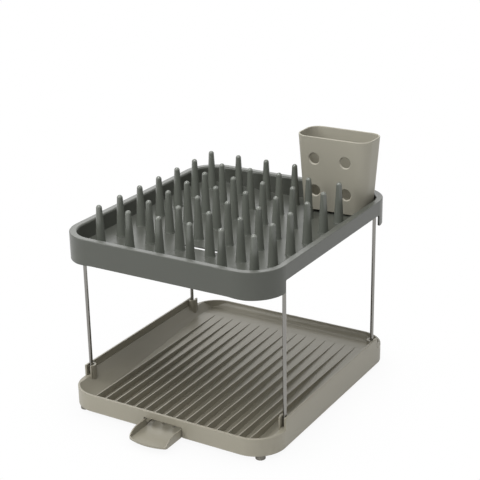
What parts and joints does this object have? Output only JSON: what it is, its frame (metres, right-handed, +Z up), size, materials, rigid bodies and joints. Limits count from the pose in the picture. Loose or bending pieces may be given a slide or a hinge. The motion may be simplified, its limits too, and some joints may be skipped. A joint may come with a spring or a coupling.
{
  "type": "two-tier dish rack",
  "caption": "Two-tier dish drying rack: a drip tray with a drain spout, wire side frames, an upper rack with rows of tapered prongs and a cutlery pot.",
  "frame": {"origin": "on the table, under the middle of the whole rack's box, the spout included", "axes": "+X to the right, +Y to the back, +Z up; the spout points to -Y"},
  "size_m": [0.3114, 0.3956, 0.3343],
  "materials": {
    "tray_plastic": "satin taupe grey",
    "rack_plastic": "satin dark grey",
    "pot_plastic": "satin taupe grey",
    "leg_wire": "smooth, dull silver grey",
    "rubber_feet": "matt taupe grey"
  },
  "bodies": {
    "tray": {"drip_tray": "tray_plastic", "foot_front_left": "rubber_feet", "foot_front_right": "rubber_feet", "foot_rear_left": "rubber_feet", "foot_rear_right": "rubber_feet"},
    "spout": {"drain_spout": "tray_plastic"},
    "leg_left": {"leg_frame_left": "leg_wire"},
    "leg_right": {"leg_frame_right": "leg_wire"},
    "rack": {"prong_tray": "rack_plastic", "prong_row_1": "rack_plastic", "prong_row_2": "rack_plastic", "prong_row_3": "rack_plastic", "prong_row_4": "rack_plastic", "prong_row_5": "rack_plastic", "prong_row_6": "rack_plastic", "prong_row_7": "rack_plastic"},
    "pot": {"cutlery_pot": "pot_plastic"}
  },
  "joints": [
    {"name": "spout_slide", "type": "slide", "parent": "tray", "child": "spout", "axis": [0, 1, 0], "range_m": [0, 0.022]},
    {"name": "leg_left_lift", "type": "slide", "parent": "tray", "child": "leg_left", "axis": [0, 0, 1], "range_m": [0, 0.03]},
    {"name": "leg_right_lift", "type": "slide", "parent": "tray", "child": "leg_right", "axis": [0, 0, 1], "range_m": [0, 0.03]},
    {"name": "rack_lift", "type": "slide", "parent": "leg_left", "child": "rack", "axis": [0, 0, 1], "range_m": [0, 0.04]},
    {"name": "pot_lift", "type": "slide", "parent": "rack", "child": "pot", "axis": [0, 0, 1], "range_m": [0, 0.12]}
  ],
  "couplings": [
    {"joint": "leg_right_lift", "follows": "leg_left_lift", "ratio": 1}
  ]
}
